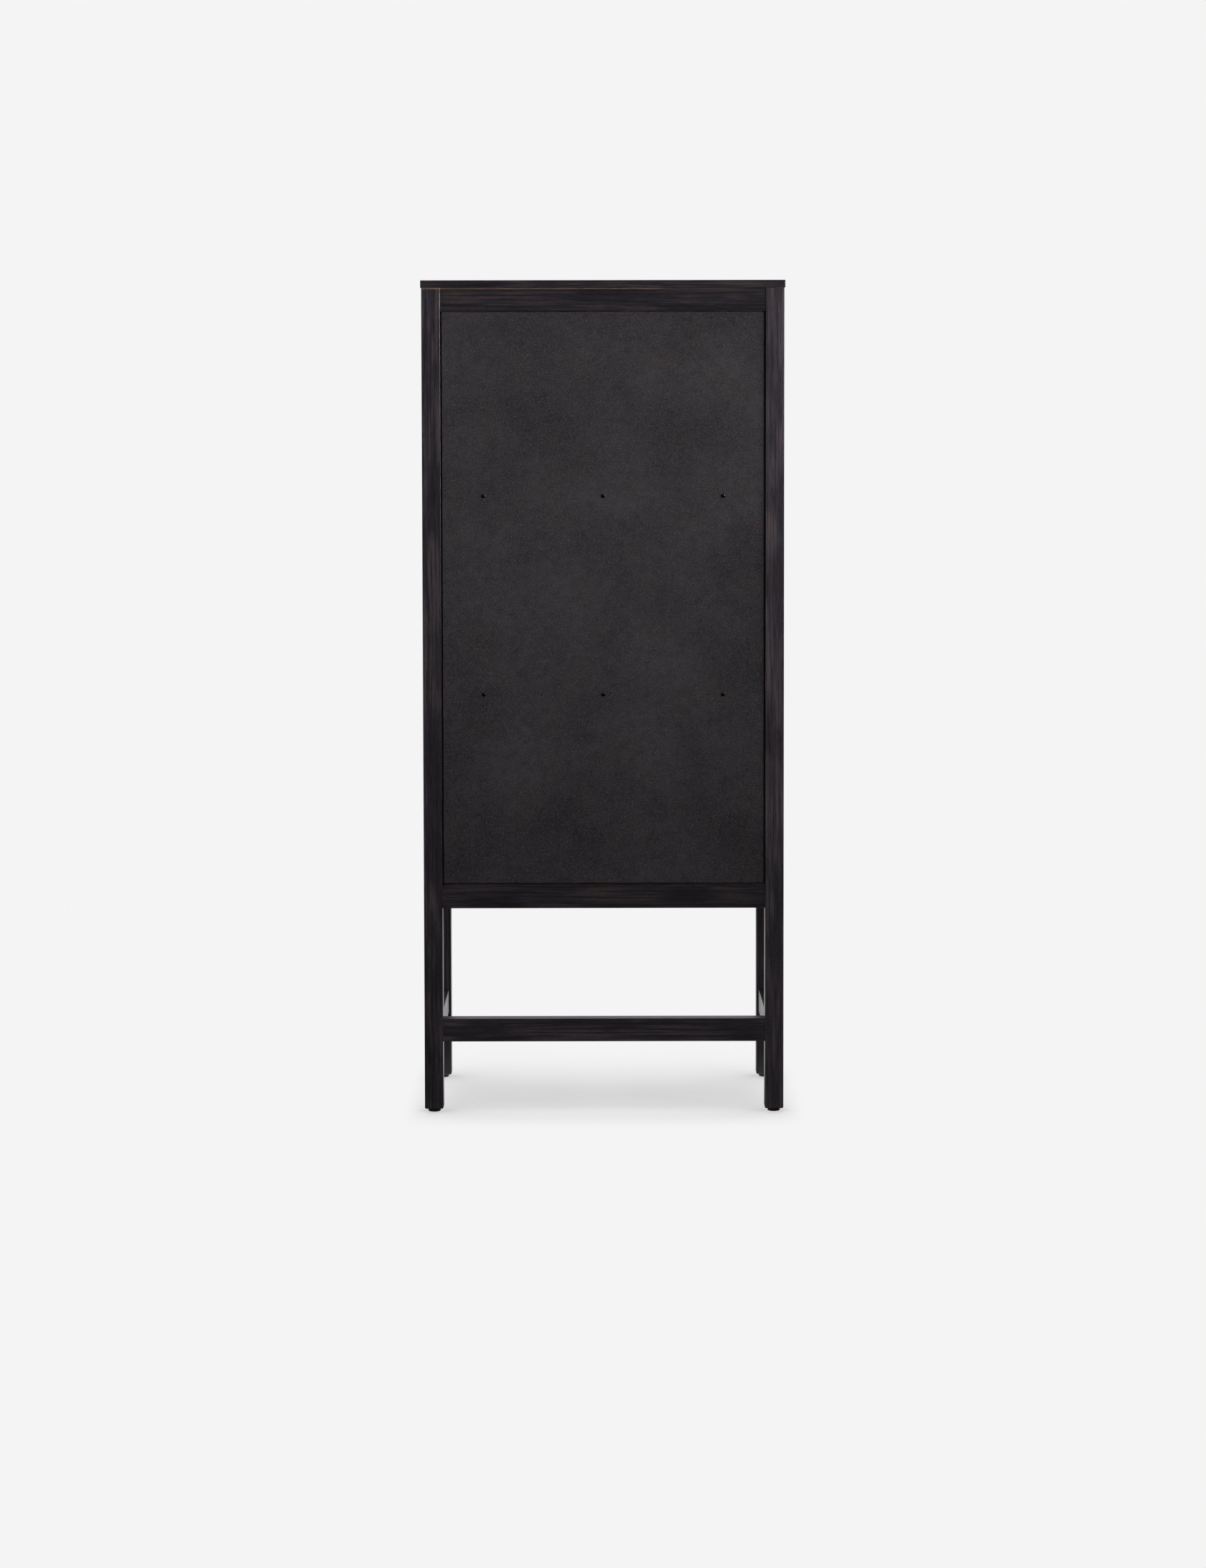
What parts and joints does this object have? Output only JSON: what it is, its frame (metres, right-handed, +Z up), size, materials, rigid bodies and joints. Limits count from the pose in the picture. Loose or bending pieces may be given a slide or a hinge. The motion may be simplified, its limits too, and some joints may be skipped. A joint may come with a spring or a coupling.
{
  "type": "apothecary cabinet",
  "caption": "Tall wooden apothecary cabinet on open legs, with small label-fronted drawers below a pair of glazed doors, shelves behind them and a screwed back panel.",
  "frame": {"origin": "on the floor, under the middle of the cabinet's overall box, knobs included", "axes": "+Z up, -Y out of the front with the doors and drawers, +Y out of the screwed back, +X to the right of a person who faces the front"},
  "size_m": [0.828, 0.4856, 1.905],
  "materials": {
    "stained_wood": "black-brown stain over open grain, satin",
    "charcoal_panel": "charcoal painted board, matt",
    "bare_wood": "plain unstained softwood",
    "clear_glass": "clear",
    "aged_brass": "aged, rubbed bright on the high spots",
    "black_screw": "black, satin",
    "zinc_steel": "zinc plated",
    "glide_plastic": "matt black",
    "catch_plastic": "matt black"
  },
  "bodies": {
    "case": {"top_board": "stained_wood", "front_left_post": "stained_wood", "front_right_post": "stained_wood", "rear_left_post": "stained_wood", "rear_right_post": "stained_wood", "front_top_rail": "stained_wood", "front_bottom_rail": "stained_wood", "rear_top_rail": "stained_wood", "rear_bottom_rail": "stained_wood", "side_rails": "stained_wood", "rear_stretcher": "stained_wood", "side_stretchers": "stained_wood", "side_panels": "charcoal_panel", "back_panel": "charcoal_panel", "back_panel_screws": "black_screw", "back_panel_battens": "stained_wood", "floor_board": "stained_wood", "lower_shelf": "stained_wood", "upper_shelf": "stained_wood", "shelf_cleats": "stained_wood", "drawer_linings": "bare_wood", "drawer_partitions": "stained_wood", "drawer_dividers": "stained_wood", "drawer_stops": "bare_wood", "top_fixing_blocks": "bare_wood", "top_fixing_screws": "zinc_steel", "foot_glides": "glide_plastic", "post_hinge_leaves": "aged_brass", "hinge_pins": "aged_brass", "door_catches": "catch_plastic"},
    "left_door": {"left_door_stiles": "stained_wood", "left_door_rails": "stained_wood", "left_door_panes": "clear_glass", "left_door_beads": "stained_wood", "left_door_knob": "aged_brass", "left_door_fittings": "aged_brass"},
    "right_door": {"right_door_stiles": "stained_wood", "right_door_rails": "stained_wood", "right_door_panes": "clear_glass", "right_door_beads": "stained_wood", "right_door_knob": "aged_brass", "right_door_fittings": "aged_brass"},
    "bottom_left_drawer_body": {"bottom_left_drawer": "stained_wood", "bottom_left_drawer_pull": "aged_brass"},
    "bottom_centre_drawer_body": {"bottom_centre_drawer": "stained_wood", "bottom_centre_drawer_pull": "aged_brass"},
    "bottom_right_drawer_body": {"bottom_right_drawer": "stained_wood", "bottom_right_drawer_pull": "aged_brass"},
    "middle_left_drawer_body": {"middle_left_drawer": "stained_wood", "middle_left_drawer_pull": "aged_brass"},
    "middle_centre_drawer_body": {"middle_centre_drawer": "stained_wood", "middle_centre_drawer_pull": "aged_brass"},
    "middle_right_drawer_body": {"middle_right_drawer": "stained_wood", "middle_right_drawer_pull": "aged_brass"},
    "top_left_drawer_body": {"top_left_drawer": "stained_wood", "top_left_drawer_pull": "aged_brass"},
    "top_centre_drawer_body": {"top_centre_drawer": "stained_wood", "top_centre_drawer_pull": "aged_brass"},
    "top_right_drawer_body": {"top_right_drawer": "stained_wood", "top_right_drawer_pull": "aged_brass"}
  },
  "joints": [
    {"name": "left_door_hinge", "type": "hinge", "parent": "case", "child": "left_door", "pos_m": [-0.3681, -0.22075, 1.4035], "axis": [0, 0, -1], "range_deg": [0, 165]},
    {"name": "right_door_hinge", "type": "hinge", "parent": "case", "child": "right_door", "pos_m": [0.3681, -0.22075, 1.4035], "axis": [0, 0, 1], "range_deg": [0, 165]},
    {"name": "bottom_left_drawer_slide", "type": "slide", "parent": "case", "child": "bottom_left_drawer_body", "axis": [0, -1, 0], "range_m": [0, 0.3]},
    {"name": "bottom_centre_drawer_slide", "type": "slide", "parent": "case", "child": "bottom_centre_drawer_body", "axis": [0, -1, 0], "range_m": [0, 0.3]},
    {"name": "bottom_right_drawer_slide", "type": "slide", "parent": "case", "child": "bottom_right_drawer_body", "axis": [0, -1, 0], "range_m": [0, 0.3]},
    {"name": "middle_left_drawer_slide", "type": "slide", "parent": "case", "child": "middle_left_drawer_body", "axis": [0, -1, 0], "range_m": [0, 0.3]},
    {"name": "middle_centre_drawer_slide", "type": "slide", "parent": "case", "child": "middle_centre_drawer_body", "axis": [0, -1, 0], "range_m": [0, 0.3]},
    {"name": "middle_right_drawer_slide", "type": "slide", "parent": "case", "child": "middle_right_drawer_body", "axis": [0, -1, 0], "range_m": [0, 0.3]},
    {"name": "top_left_drawer_slide", "type": "slide", "parent": "case", "child": "top_left_drawer_body", "axis": [0, -1, 0], "range_m": [0, 0.3]},
    {"name": "top_centre_drawer_slide", "type": "slide", "parent": "case", "child": "top_centre_drawer_body", "axis": [0, -1, 0], "range_m": [0, 0.3]},
    {"name": "top_right_drawer_slide", "type": "slide", "parent": "case", "child": "top_right_drawer_body", "axis": [0, -1, 0], "range_m": [0, 0.3]}
  ]
}
